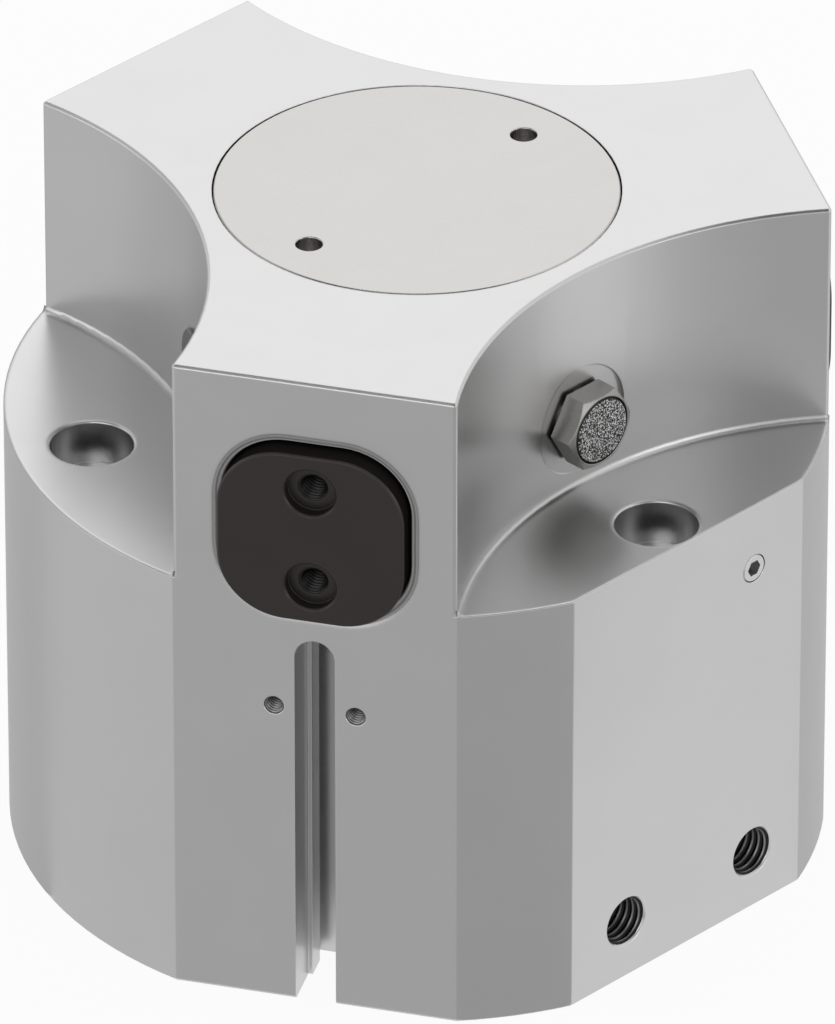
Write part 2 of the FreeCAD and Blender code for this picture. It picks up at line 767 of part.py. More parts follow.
def blanking_plug():
    shank = recess_floor_r - cavity_r
    c = 0.15
    plug = turned([(0, -shank), (m5_r - thread_gap, -shank), (m5_r - thread_gap, 0), (blank_r, 0),
                   (blank_r, blank_t - c), (blank_r - c, blank_t), (0, blank_t)])
    socket = hexagon(blank_af, blank_socket_d + 1.0)
    socket.translate(Vector(0, 0, blank_t - blank_socket_d))
    return aimed(plug.cut(socket), spot(plug_angle, recess_floor_r, 0, jaw_z), direction(plug_angle))


def plug_screw():
    c = 0.12
    r = m3_r - plug_thread_gap
    plug = turned([(0, 0), (r - c, 0), (r, -c), (r, -plug_len), (0, -plug_len)])
    socket = hexagon(hex_socket_af, hex_socket_d + 1.0)
    socket.translate(Vector(0, 0, -hex_socket_d))
    return aimed(plug.cut(socket), spot(port_angle, port_flat_r, plug_side, plug_z), direction(port_angle))


def riser_plug():
    foot = spot(port_angle, riser_r, port_sides[1], riser_plug_in)
    return Part.makeCylinder(riser_plug_r, riser_plug_t, foot)


nodes = {
    "housing": housing,
    "cover_cap": cover_cap,
    "cover_seal": cover_seal,
    "driver_hub": driver_hub,
    "hub_screw": hub_screw,
    "alignment_pin": alignment_pin,
    "piston_rod": piston_rod,
    "piston": piston,
    "piston_screw": piston_screw,
    "piston_seals": piston_seals,
    "piston_guide_ring": piston_guide_ring,
    "piston_magnet": piston_magnet,
    "rod_joint_seal": rod_joint_seal,
    "rod_bush": rod_bush,
    "rod_seal": rod_seal,
    "upper_bumper": upper_bumper,
    "lower_bumper": lower_bumper,
    "end_cap": end_cap,
    "end_cap_seal": end_cap_seal,
    "retaining_ring": retaining_ring,
    "silencer_body": silencer_body,
    "silencer_disc": silencer_disc,
    "blanking_plug": blanking_plug,
    "plug_screw": plug_screw,
    "riser_plug": riser_plug,
}

os.makedirs("parts", exist_ok=True)
for name, make in nodes.items():
    make().exportStep("parts/" + name + ".step")
for number, angle in enumerate(jaw_angles, 1):
    base_jaw(angle).exportStep("parts/base_jaw_%d.step" % number)
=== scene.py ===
import math
import bmesh
import bpy
import numpy as np
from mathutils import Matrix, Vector


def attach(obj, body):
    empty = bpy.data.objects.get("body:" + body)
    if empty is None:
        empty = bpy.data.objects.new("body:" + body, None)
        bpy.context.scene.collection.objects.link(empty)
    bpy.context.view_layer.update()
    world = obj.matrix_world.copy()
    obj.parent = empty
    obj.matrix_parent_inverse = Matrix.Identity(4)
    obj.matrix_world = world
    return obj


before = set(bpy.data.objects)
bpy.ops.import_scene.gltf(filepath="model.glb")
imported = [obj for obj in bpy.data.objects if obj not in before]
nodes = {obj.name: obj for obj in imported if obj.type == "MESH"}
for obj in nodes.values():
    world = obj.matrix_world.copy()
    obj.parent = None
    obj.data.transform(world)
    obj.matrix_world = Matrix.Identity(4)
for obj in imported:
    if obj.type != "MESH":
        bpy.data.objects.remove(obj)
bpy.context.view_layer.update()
mm = 0.001
print("scene: frame loaded,", len(nodes), "solids")

# places on the gripper, in millimetres and degrees: spokes of the jaws and of the recess over the
# port flat, distances out from the axis, steps to the left of a spoke, and heights
housing = {"roundR": 40.0, "lobeHalf": 14.0, "jawProud": 1.54}
flatOut = math.sqrt(housing["roundR"] ** 2 - housing["lobeHalf"] ** 2)
places = {
    "jawSpokes": (-90.0, 30.0, 150.0),
    "portSpoke": -30.0,
    "flatOut": flatOut,
    "jawOut": flatOut + housing["jawProud"],
    "portOut": 36.8,
    "portHeight": 6.37,
    "portSides": (-8.2, 9.25),
    "jawHeight": 53.23,
    "jawHolePitch": 10.4,
    "bracketSides": (-4.04, 4.04),
    "bracketHeight": 33.2,
}


def spokeAxis(angle):
    return np.array([math.cos(math.radians(angle)), math.sin(math.radians(angle)), 0.0])


# point at a distance out along a spoke, a side step to its left and a height, in mm
def onSpoke(angle, out, side, height):
    return spokeAxis(angle) * out + spokeAxis(angle + 90.0) * side + np.array([0.0, 0.0, height])


# ------- camera -------
view = {
    "stand": (0.3558, -1.3226, 0.8828),
    "aim": (0.000056, 0.0, 0.03306),
    "lens": 583.4,
    "sensor": 36.0,
    "near": 0.05,
    "far": 20.0,
}


def makeCamera():
    data = bpy.data.cameras.new("photoCamera")
    camera = bpy.data.objects.new("photoCamera", data)
    bpy.context.scene.collection.objects.link(camera)
    camera.location = view["stand"]
    look = Vector(view["aim"]) - Vector(view["stand"])
    camera.rotation_euler = look.to_track_quat("-Z", "Y").to_euler()
    data.lens = view["lens"]
    data.sensor_width = view["sensor"]
    data.clip_start = view["near"]
    data.clip_end = view["far"]
    bpy.context.scene.camera = camera


makeCamera()
print("scene: camera set")


# ------- floor, background and light -------
studio = {
    "backdrop": 1.0,        # strength that the camera, gloss and glass see behind the object
    "skyFill": 0.60,        # grey of the room's own light
    "floorTone": 0.75,
    "floorGlow": 0.94,      # share of plain white in the floor, seen by the camera
    "floorHalf": 3.0,
    "floorDrop": 0.00002,
}

# square soft lamps, in metres and watts, all aimed at one point of the gripper
lamps = {
    "backLamp": {"place": (-0.35, 1.30, 0.95), "size": 1.0, "power": 1.35},
    "topLamp": {"place": (0.10, 0.15, 1.30), "size": 0.9, "power": 2.0},
    "rightLamp": {"place": (1.15, -0.45, 0.16), "size": 0.6, "power": 1.5},
    "leftLamp": {"place": (-1.20, -0.40, 0.35), "size": 0.7, "power": 1.0},
}
lampAim = (0.0, 0.0, 0.035)

# boards on the floor round the foot: two corners at the foot in mm, the headings of the board's
# two sides in degrees, and its tone
cards = {
    "frontCard": {"foot": ((-14.0, -37.6), (14.0, -37.6)), "headings": (-127.0, -84.0), "tone": 0.595},
    "cornerCard": {"foot": ((14.0, -37.6), (24.0, -32.1)), "headings": (-84.0, -12.0), "tone": 0.50},
    "portCard": {"foot": ((24.0, -32.1), (39.8, -4.8)), "headings": (-12.0, 30.0), "tone": 0.955},
    "sideCard": {"foot": ((39.8, -4.8), (39.5, 6.7)), "headings": (30.0, 110.0), "tone": 0.66},
    "leftCard": {"foot": ((-29.9, -26.9), (-14.0, -37.6)), "headings": (159.0, 233.0), "tone": 0.745},
    "rearCard": {"foot": ((-39.6, -6.9), (-29.9, -26.9)), "headings": (95.0, 159.0), "tone": 0.60},
}
cardSize = {"reach": 420.0, "lift": 0.2}

# boards in the air, corners in metres: a dark one overhead and a pale one before the gripper draw
# the two thin lines along its broken edges, two shades darken the recesses, and one lies low over
# the floor for the right end of the right recess
airCards = {
    "overheadCard": {"corners": ((-1.3, -1.15, 1.5), (1.3, -1.15, 1.5), (1.3, 0.20, 1.5), (-1.3, 0.20, 1.5)),
                     "tone": 0.04},
    "foreCard": {"corners": ((-1.2, -1.7, 0.80), (0.6, -1.7, 0.80), (0.6, -1.7, 2.0), (-1.2, -1.7, 2.0)),
                 "tone": 2.2},
    "rightShade": {"corners": ((0.65, -1.7, 0.45), (2.0, -1.0, 0.45), (2.0, -1.0, 1.8), (0.65, -1.7, 1.8)),
                   "tone": 0.59},
    "farCard": {"corners": ((0.080, -0.044, 0.0004), (0.42, -0.116, 0.0004), (0.42, 0.010, 0.0004),
                            (0.080, -0.022, 0.0004)),
                "tone": 0.58},
    "leftShade": {"corners": ((-1.25, -1.7, 0.45), (-1.9, 1.4, 0.45), (-1.9, 1.4, 1.8), (-1.25, -1.7, 1.8)),
                  "tone": 0.67},
}

# thin glowing bands in the gap round each jaw, seen only mirrored in the rounded mouth of the jaw's bore,
# where they paint its light and dark lines as a painted reflection: each from one distance before the lobe's
# flat to another, with its tone
jawBand = {"half": 9.24, "corner": 6.54, "steps": 12,
           "rings": ((-1.15, -0.75, 0.08), (-0.75, -0.30, 0.40), (-0.30, 0.15, 0.15), (0.15, 0.85, 0.42),
                     (0.85, 1.30, 0.05))}


# 1 for rays that show the background itself, to the camera or in gloss and glass, and 0 for the rest
def seenDirectly(tree):
    path = tree.nodes.new("ShaderNodeLightPath")
    seen = tree.nodes.new("ShaderNodeMath")
    seen.operation = "MAXIMUM"
    both = tree.nodes.new("ShaderNodeMath")
    both.operation = "MAXIMUM"
    tree.links.new(path.outputs["Is Glossy Ray"], seen.inputs[0])
    tree.links.new(path.outputs["Is Transmission Ray"], seen.inputs[1])
    tree.links.new(path.outputs["Is Camera Ray"], both.inputs[0])
    tree.links.new(seen.outputs[0], both.inputs[1])
    return both.outputs[0]


def makeRoom():
    world = bpy.data.worlds.new("studioRoom")
    bpy.context.scene.world = world
    world.use_nodes = True
    tree = world.node_tree
    tree.nodes.clear()
    out = tree.nodes.new("ShaderNodeOutputWorld")
    mix = tree.nodes.new("ShaderNodeMixShader")
    light = tree.nodes.new("ShaderNodeBackground")
    shown = tree.nodes.new("ShaderNodeBackground")
    light.inputs["Color"].default_value = (1.0, 1.0, 1.0, 1.0)
    light.inputs["Strength"].default_value = studio["skyFill"]
    shown.inputs["Color"].default_value = (1.0, 1.0, 1.0, 1.0)
    shown.inputs["Strength"].default_value = studio["backdrop"]
    tree.links.new(seenDirectly(tree), mix.inputs["Fac"])
    tree.links.new(light.outputs[0], mix.inputs[1])
    tree.links.new(shown.outputs[0], mix.inputs[2])
    tree.links.new(mix.outputs[0], out.inputs["Surface"])


def makeFloor():
    half, level = studio["floorHalf"], -studio["floorDrop"]
    corners = [(-half, -half, level), (half, -half, level), (half, half, level), (-half, half, level)]
    mesh = bpy.data.meshes.new("studioFloor")
    mesh.from_pydata(corners, [], [(0, 1, 2, 3)])
    floor = bpy.data.objects.new("studioFloor", mesh)
    bpy.context.scene.collection.objects.link(floor)
    paint = bpy.data.materials.new("palePaint")
    paint.use_nodes = True
    tree = paint.node_tree
    tree.nodes.clear()
    out = tree.nodes.new("ShaderNodeOutputMaterial")
    matt = tree.nodes.new("ShaderNodeBsdfDiffuse")
    tone = studio["floorTone"]
    matt.inputs["Color"].default_value = (tone, tone, tone, 1.0)
    white = tree.nodes.new("ShaderNodeEmission")
    white.inputs["Strength"].default_value = studio["backdrop"]
    mix = tree.nodes.new("ShaderNodeMixShader")
    share = tree.nodes.new("ShaderNodeMath")
    share.operation = "MULTIPLY"
    share.inputs[1].default_value = studio["floorGlow"]
    tree.links.new(seenDirectly(tree), share.inputs[0])
    tree.links.new(share.outputs[0], mix.inputs["Fac"])
    tree.links.new(matt.outputs[0], mix.inputs[1])
    tree.links.new(white.outputs[0], mix.inputs[2])
    tree.links.new(mix.outputs[0], out.inputs["Surface"])
    mesh.materials.append(paint)


def makeLamp(name, setting):
    data = bpy.data.lights.new(name, "AREA")
    data.shape = "SQUARE"
    data.size = setting["size"]
    data.energy = setting["power"]
    lamp = bpy.data.objects.new(name, data)
    bpy.context.scene.collection.objects.link(lamp)
    lamp.location = setting["place"]
    aim = Vector(lampAim) - Vector(setting["place"])
    lamp.rotation_euler = aim.to_track_quat("-Z", "Y").to_euler()


# a board lying on the floor: the metal's upright faces mirror it, nothing else does
def makeCard(name, layout):
    near, far = [], []
    for (x, y), heading in zip(layout["foot"], layout["headings"]):
        turn = math.radians(heading)
        near.append((x, y))
        far.append((x + cardSize["reach"] * math.cos(turn), y + cardSize["reach"] * math.sin(turn)))
    corners = [near[0], far[0], far[1], near[1]]
    points = [(x * mm, y * mm, cardSize["lift"] * mm) for x, y in corners]
    makeBoard(name, points, [(0, 1, 2, 3)], layout["tone"])


# Each ring is a band along the spoke over a square with round corners. The square's path is four
# arcs: a corner's centre, half the flat length to either side, plus the corner radius turned through
# the quarter circle that faces that corner.
def makeBand(name, spoke):
    corner, steps = jawBand["corner"], jawBand["steps"]
    flat = jawBand["half"] - corner
    turn = np.radians(90.0 * (np.arange(4)[:, None] + np.arange(steps + 1)[None, :] / steps))
    side = (flat * np.array([1.0, -1.0, -1.0, 1.0])[:, None] + corner * np.cos(turn)).ravel()
    up = (flat * np.array([1.0, 1.0, -1.0, -1.0])[:, None] + corner * np.sin(turn)).ravel()
    count = side.size
    this = np.arange(count)
    after = np.roll(this, -1)
    faces = np.stack([this, after, count + after, count + this], axis=-1)
    middle = onSpoke(spoke, places["flatOut"], 0.0, places["jawHeight"])
    path = middle + side[:, None] * spokeAxis(spoke + 90.0) + up[:, None] * np.array([0.0, 0.0, 1.0])
    for number, (near, far, tone) in enumerate(jawBand["rings"], 1):
        points = np.concatenate([path + near * spokeAxis(spoke), path + far * spokeAxis(spoke)]) * mm
        makeBoard(name + "ring" + str(number), points.tolist(), faces.tolist(), tone, True)


# a glowing sheet that only mirrors show, dark on its back where it glows on one side
def makeBoard(name, points, faces, tone, oneSide=False):
    mesh = bpy.data.meshes.new(name)
    mesh.from_pydata(points, [], faces)
    card = bpy.data.objects.new(name, mesh)
    bpy.context.scene.collection.objects.link(card)
    board = bpy.data.materials.new(name)
    board.use_nodes = True
    tree = board.node_tree
    tree.nodes.clear()
    out = tree.nodes.new("ShaderNodeOutputMaterial")
    glow = tree.nodes.new("ShaderNodeEmission")
    glow.inputs["Color"].default_value = (1.0, 1.0, 1.0, 1.0)
    glow.inputs["Strength"].default_value = tone
    if oneSide:
        geometry = tree.nodes.new("ShaderNodeNewGeometry")
        side = tree.nodes.new("ShaderNodeMapRange")
        side.inputs["To Min"].default_value = tone
        side.inputs["To Max"].default_value = 0.0
        tree.links.new(geometry.outputs["Backfacing"], side.inputs["Value"])
        tree.links.new(side.outputs["Result"], glow.inputs["Strength"])
    tree.links.new(glow.outputs[0], out.inputs["Surface"])
    mesh.materials.append(board)
    card.visible_camera = False
    card.visible_diffuse = False
    card.visible_shadow = False


makeRoom()
makeFloor()
for name, layout in cards.items():
    makeCard(name, layout)
for name, layout in airCards.items():
    makeBoard(name, layout["corners"], [(0, 1, 2, 3)], layout["tone"])
for number, spoke in enumerate(places["jawSpokes"], 1):
    makeBand("jawBand" + str(number), spoke)
for name, setting in lamps.items():
    makeLamp(name, setting)
bpy.context.scene.view_settings.view_transform = "Standard"
print("scene: room, floor and lamps ready")


# ------- finishes -------
shading = {
    "edgeSamples": 8,
    "plainEdge": 0.995,     # agreement of rounded and plain normal where an edge begins
    "fullEdge": 0.80,       # and where it counts in full
    "hollowSamples": 8,
}


def startFinish(name):
    finish = bpy.data.materials.new(name)
    finish.use_nodes = True
    tree = finish.node_tree
    shader = tree.nodes["Principled BSDF"]
    coords = tree.nodes.new("ShaderNodeTexCoord")
    return finish, tree, shader, coords.outputs["Object"]


def grain(tree, where, size, detail=2.0):
    noise = tree.nodes.new("ShaderNodeTexNoise")
    noise.inputs["Scale"].default_value = 1.0 / size
    noise.inputs["Detail"].default_value = detail
    tree.links.new(where, noise.inputs["Vector"])
    return noise.outputs["Fac"]


def spread(tree, value, low, high, fromLow=0.3, fromHigh=0.7):
    ranger = tree.nodes.new("ShaderNodeMapRange")
    ranger.inputs["From Min"].default_value = fromLow
    ranger.inputs["From Max"].default_value = fromHigh
    ranger.inputs["To Min"].default_value = low
    ranger.inputs["To Max"].default_value = high
    tree.links.new(value, ranger.inputs["Value"])
    return ranger.outputs["Result"]


# stretches object coordinates, so that a pattern becomes lines along one axis
def stretched(tree, where, scale):
    mapping = tree.nodes.new("ShaderNodeMapping")
    mapping.inputs["Scale"].default_value = scale
    tree.links.new(where, mapping.inputs["Vector"])
    return mapping.outputs["Vector"]


def blendColours(tree, factor, first, second):
    mix = tree.nodes.new("ShaderNodeMix")
    mix.data_type = "RGBA"
    for socket, colour in ((mix.inputs[6], first), (mix.inputs[7], second)):
        if isinstance(colour, tuple):
            socket.default_value = (*colour, 1.0)
        else:
            tree.links.new(colour, socket)
    tree.links.new(factor, mix.inputs[0])
    return mix.outputs[2]


# how far a point lies on a broken edge: the rounded normal against the plain one
# (rounded further in one band of height, where a hollow corner's facets would show; that band comes
# back as the third result)
def edgeShare(tree, radius, where, soften=None):
    rounded = tree.nodes.new("ShaderNodeBevel")
    rounded.samples = shading["edgeSamples"]
    rounded.inputs["Radius"].default_value = radius
    inBand = None
    if soften:
        split = tree.nodes.new("ShaderNodeSeparateXYZ")
        tree.links.new(where, split.inputs[0])
        band = tree.nodes.new("ShaderNodeMath")
        band.operation = "COMPARE"
        band.inputs[1].default_value = soften["height"] * mm
        band.inputs[2].default_value = soften["half"] * mm
        tree.links.new(split.outputs["Z"], band.inputs[0])
        wide = spread(tree, band.outputs[0], radius, soften["radius"] * mm, 0.0, 1.0)
        tree.links.new(wide, rounded.inputs["Radius"])
        inBand = band.outputs[0]
    geometry = tree.nodes.new("ShaderNodeNewGeometry")
    dot = tree.nodes.new("ShaderNodeVectorMath")
    dot.operation = "DOT_PRODUCT"
    tree.links.new(rounded.outputs["Normal"], dot.inputs[0])
    tree.links.new(geometry.outputs["Normal"], dot.inputs[1])
    share = spread(tree, dot.outputs["Value"], 0.0, 1.0, shading["plainEdge"], shading["fullEdge"])
    return share, rounded.outputs["Normal"], inBand


# painted shade in deep holes and gaps, from ambient occlusion: 1 on open faces and 0 deep inside
def paintedHollowShade(tree, reach):
    hollow = tree.nodes.new("ShaderNodeAmbientOcclusion")
    hollow.samples = shading["hollowSamples"]
    hollow.inputs["Distance"].default_value = reach
    return hollow.outputs["AO"]


def bump(tree, shader, height, depth):
    relief = tree.nodes.new("ShaderNodeBump")
    relief.inputs["Distance"].default_value = depth
    relief.inputs["Strength"].default_value = 1.0
    tree.links.new(height, relief.inputs["Height"])
    tree.links.new(relief.outputs["Normal"], shader.inputs["Normal"])


# gloss that wanders between two values with the grain
def setGloss(tree, shader, fine, look):
    low, high = look["gloss"]
    tree.links.new(spread(tree, fine, low, high), shader.inputs["Roughness"])


# one metal finish from its settings: grain, a painted highlight on broken edges, painted shade in holes and
# gaps, and gloss
def metalFinish(name, look):
    look = {**plainMetal, **look}
    finish, tree, shader, where = startFinish(name)
    fine = grain(tree, stretched(tree, where, look["stretch"]), look["grainSize"] * mm)
    broad = grain(tree, where, look["cloudSize"] * mm, look["cloudDetail"])
    tone = np.array(look["tone"])
    light, dark = tuple(tone * (1 + look["cloud"])), tuple(tone * (1 - look["cloud"]))
    colour = blendColours(tree, spread(tree, broad, 0.0, 1.0), dark, light)
    share, rounded, inBand = edgeShare(tree, look["edgeRadius"] * mm, where, look["soften"])
    # broken edges painted lighter, no brighter than the brightest tone: a painted highlight
    highlightEdgeTone = tuple(np.minimum(tone * look["edgeHighlightLift"], look["brightest"]))
    # in the soften band the edges take a tone darker than the plain one instead: painted shade on the hollow
    # corner
    if inBand is not None:
        highlightEdgeTone = blendColours(tree, inBand, highlightEdgeTone, tuple(tone * look["soften"]["lift"]))
    colour = blendColours(tree, share, colour, highlightEdgeTone)
    # painted shade in holes and gaps: the colour goes towards a darker tone where ambient occlusion finds the
    # surface closed in
    clear = spread(tree, paintedHollowShade(tree, look["shadeReach"] * mm), 0.0, 1.0, 0.0, look["shadeEndsAt"])
    colour = blendColours(tree, clear, tuple(tone * look["hollowShadeTone"]), colour)
    tree.links.new(colour, shader.inputs["Base Color"])
    setGloss(tree, shader, fine, look)
    shader.inputs["Metallic"].default_value = look["metal"]
    tree.links.new(rounded, shader.inputs["Normal"])
    return finish


# what a metal has unless its own entry says otherwise; lengths in mm. The lift on broken edges paints a
# highlight, and the last three set the painted shade in holes and gaps
plainMetal = {"stretch": (1.0, 1.0, 1.0), "cloudSize": 9.0, "cloudDetail": 3.0, "edgeRadius": 0.25,
              "edgeHighlightLift": 1.12, "brightest": 0.95, "soften": None, "shadeReach": 2.5, "shadeEndsAt": 0.22,
              "hollowShadeTone": 0.12}

looks = {
    "anodisedBody": {"tone": (0.56, 0.56, 0.56), "metal": 1.0, "gloss": (0.29, 0.31), "grainSize": 3.0,
                     "cloud": 0.010, "edgeHighlightLift": 1.30, "edgeRadius": 0.18,
                     # its soften band paints the hollow corner in that band of height darker than the plain
                     # tone: painted shade
                     "soften": {"height": 46.27, "half": 0.29, "radius": 0.6, "lift": 0.78}},
    "turnedCover": {"tone": (0.487, 0.477, 0.465), "metal": 1.0, "gloss": (0.26, 0.28), "grainSize": 3.0,
                    "cloud": 0.006, "edgeHighlightLift": 1.3, "edgeRadius": 0.15},
    "darkJaw": {"tone": (0.040, 0.0345, 0.0322), "metal": 0.6, "gloss": (0.39, 0.43), "grainSize": 2.0,
                "cloud": 0.03, "edgeHighlightLift": 1.3, "edgeRadius": 0.15, "hollowShadeTone": 0.30, "shadeEndsAt": 0.60},
    "jawThread": {"tone": (0.012, 0.0105, 0.0100), "metal": 0.6, "gloss": (0.30, 0.40), "grainSize": 0.5,
                  "cloud": 0.03, "edgeHighlightLift": 2.5, "edgeRadius": 0.08, "hollowShadeTone": 0.3},
    "groundSteel": {"tone": (0.36, 0.36, 0.37), "metal": 0.9, "gloss": (0.22, 0.34), "grainSize": 0.12,
                    "stretch": (1.0, 1.0, 0.12), "cloud": 0.03},
    "screwSteel": {"tone": (0.10, 0.10, 0.105), "metal": 0.7, "gloss": (0.28, 0.42), "grainSize": 0.12,
                   "cloud": 0.05, "edgeHighlightLift": 1.8},
    "chromedRod": {"tone": (0.75, 0.75, 0.76), "metal": 1.0, "gloss": (0.08, 0.14), "grainSize": 0.10,
                   "cloud": 0.01},
    "machinedAluminium": {"tone": (0.62, 0.62, 0.63), "metal": 0.7, "gloss": (0.28, 0.42), "grainSize": 0.18,
                          "cloud": 0.02},
    "bronzeBush": {"tone": (0.55, 0.36, 0.16), "metal": 0.9, "gloss": (0.30, 0.45), "grainSize": 0.14,
                   "cloud": 0.05},
    "springSteel": {"tone": (0.09, 0.09, 0.095), "metal": 0.75, "gloss": (0.30, 0.42), "grainSize": 0.12,
                    "cloud": 0.05, "edgeHighlightLift": 1.7},
    "platedBrass": {"tone": (0.34, 0.333, 0.318), "metal": 0.9, "gloss": (0.26, 0.36), "grainSize": 0.12,
                    "cloud": 0.03, "edgeHighlightLift": 1.3, "edgeRadius": 0.15},
    "plugSteel": {"tone": (0.150, 0.147, 0.142), "metal": 0.8, "gloss": (0.28, 0.38), "grainSize": 0.12,
                  "cloud": 0.03, "edgeHighlightLift": 1.6, "edgeRadius": 0.12},
    "brightScrew": {"tone": (0.62, 0.62, 0.62), "metal": 0.9, "gloss": (0.26, 0.36), "grainSize": 0.12,
                    "cloud": 0.02, "edgeHighlightLift": 1.2, "edgeRadius": 0.1, "hollowShadeTone": 0.3},
}


# soft or moulded pieces: plain shader with a fine grain
def mouldedFinish(name, look):
    finish, tree, shader, where = startFinish(name)
    fine = grain(tree, where, look["grainSize"] * mm)
    tone = np.array(look["tone"])
    light, dark = tuple(tone * (1 + softCloud)), tuple(tone * (1 - softCloud))
    colour = blendColours(tree, spread(tree, fine, 0.0, 1.0), dark, light)
    tree.links.new(colour, shader.inputs["Base Color"])
    setGloss(tree, shader, fine, look)
    bump(tree, shader, fine, look["relief"] * mm)
    return finish


softCloud = 0.15        # share by which a soft piece's tone wanders
softLooks = {
    "sealRubber": {"tone": (0.018, 0.018, 0.018), "gloss": (0.55, 0.70), "grainSize": 0.10, "relief": 0.004},
    "bumperRubber": {"tone": (0.26, 0.12, 0.03), "gloss": (0.45, 0.60), "grainSize": 0.15, "relief": 0.004},
    "guidePolymer": {"tone": (0.30, 0.14, 0.06), "gloss": (0.50, 0.65), "grainSize": 0.12, "relief": 0.003},
    "bondedMagnet": {"tone": (0.045, 0.045, 0.047), "gloss": (0.50, 0.65), "grainSize": 0.08, "relief": 0.004},
}


# distance of a point from a line: length of the cross product with the line's direction
def fromAxis(tree, where, centre, facing):
    shift = tree.nodes.new("ShaderNodeVectorMath")
    shift.operation = "SUBTRACT"
    shift.inputs[1].default_value = tuple(c * mm for c in centre)
    tree.links.new(where, shift.inputs[0])
    cross = tree.nodes.new("ShaderNodeVectorMath")
    cross.operation = "CROSS_PRODUCT"
    cross.inputs[1].default_value = tuple(facing)
    tree.links.new(shift.outputs[0], cross.inputs[0])
    length = tree.nodes.new("ShaderNodeVectorMath")
    length.operation = "LENGTH"
    tree.links.new(cross.outputs[0], length.inputs[0])
    return length.outputs["Value"]


# small balls pressed together: a cell pattern, dark between the balls, each of its own grey, and near black
# round the disc's rim as painted shade of the gap there
def sinteredFinish(name, look):
    finish, tree, shader, where = startFinish(name)
    cells = tree.nodes.new("ShaderNodeTexVoronoi")
    cells.inputs["Scale"].default_value = 1.0 / (look["ball"] * mm)
    tree.links.new(where, cells.inputs["Vector"])
    grey = spread(tree, cells.outputs["Color"], 0.0, 1.0, look["greyFrom"], look["greyTo"])
    colour = blendColours(tree, grey, look["darkBall"], look["lightBall"])
    gap = spread(tree, cells.outputs["Distance"], 0.0, 1.0, look["gapFrom"], look["gapTo"])
    colour = blendColours(tree, gap, colour, look["pore"])
    # painted shade: the disc goes near black out beyond the rim distance from its axis, where the gap to its
    # seat lies
    rim = spread(tree, fromAxis(tree, where, look["centre"], look["facing"]), 0.0, 1.0,
                 look["rimFrom"] * mm, look["rimTo"] * mm)
    colour = blendColours(tree, rim, colour, look["pore"])
    tree.links.new(colour, shader.inputs["Base Color"])
    shader.inputs["Metallic"].default_value = look["metal"]
    shader.inputs["Roughness"].default_value = look["gloss"]
    domed = spread(tree, cells.outputs["Distance"], 1.0, 0.0, 0.0, look["domeTo"])
    bump(tree, shader, domed, look["ball"] * look["dome"] * mm)
    return finish


sintered = {"ball": 0.17, "darkBall": (0.20, 0.20, 0.20), "lightBall": (1.0, 1.0, 0.99),
            "pore": (0.010, 0.010, 0.010), "gapFrom": 0.44, "gapTo": 0.56, "rimFrom": 3.20, "rimTo": 3.28,
            "greyFrom": 0.1, "greyTo": 0.9, "metal": 0.3, "gloss": 0.5, "dome": 0.35, "domeTo": 0.8,
            "centre": tuple(onSpoke(places["portSpoke"], 22.0, 0.0, places["jawHeight"])),
            "facing": tuple(spokeAxis(places["portSpoke"]))}


# a cut thread: lighter on the crests, which lie nearest to its axis, and painted dark down in the roots as
# painted shade in the grooves
def threadFinish(name, look, centre, facing):
    finish, tree, shader, where = startFinish(name)
    fine = grain(tree, where, look["grainSize"] * mm)
    away = fromAxis(tree, where, centre, facing)
    crest = spread(tree, away, 1.0, 0.0, look["crestTo"] * mm, look["rootFrom"] * mm)
    colour = blendColours(tree, crest, look["root"], look["crest"])
    tree.links.new(colour, shader.inputs["Base Color"])
    setGloss(tree, shader, fine, look)
    shader.inputs["Metallic"].default_value = look["metal"]
    return finish


# thread tones: the crests' tone, and the dark tone painted in the roots as painted shade
threadLooks = {
    "port": {"crest": (0.30, 0.30, 0.30), "root": (0.012, 0.012, 0.012), "crestTo": 2.24, "rootFrom": 2.33,
             "gloss": (0.34, 0.42), "grainSize": 0.6, "metal": 0.7},
    "bracket": {"crest": (0.38, 0.38, 0.38), "root": (0.10, 0.10, 0.10), "crestTo": 0.83, "rootFrom": 0.90,
                "gloss": (0.34, 0.42), "grainSize": 0.4, "metal": 0.8},
}

finishes = {name: metalFinish(name, look) for name, look in looks.items()}
finishes.update({name: mouldedFinish(name, look) for name, look in softLooks.items()})
finishes["sinteredMetal"] = sinteredFinish("sinteredMetal", sintered)

finishOfNode = {
    "housing": "anodisedBody", "cover_cap": "turnedCover", "cover_seal": "sealRubber",
    "base_jaw_1": "darkJaw", "base_jaw_2": "darkJaw", "base_jaw_3": "darkJaw",
    "driver_hub": "groundSteel", "hub_screw": "screwSteel", "alignment_pin": "groundSteel",
    "piston_rod": "chromedRod", "piston": "machinedAluminium", "piston_screw": "screwSteel",
    "piston_seals": "sealRubber", "piston_guide_ring": "guidePolymer", "piston_magnet": "bondedMagnet",
    "rod_joint_seal": "sealRubber", "rod_bush": "bronzeBush", "rod_seal": "sealRubber",
    "upper_bumper": "bumperRubber", "lower_bumper": "bumperRubber", "end_cap": "machinedAluminium",
    "end_cap_seal": "sealRubber", "retaining_ring": "springSteel", "silencer_body": "platedBrass",
    "silencer_disc": "sinteredMetal", "blanking_plug": "plugSteel", "plug_screw": "brightScrew",
    "riser_plug": "machinedAluminium",
}
for node, name in finishOfNode.items():
    for entry in nodes[node].material_slots:
        entry.material = finishes[name]
print("scene: finishes on all solids")


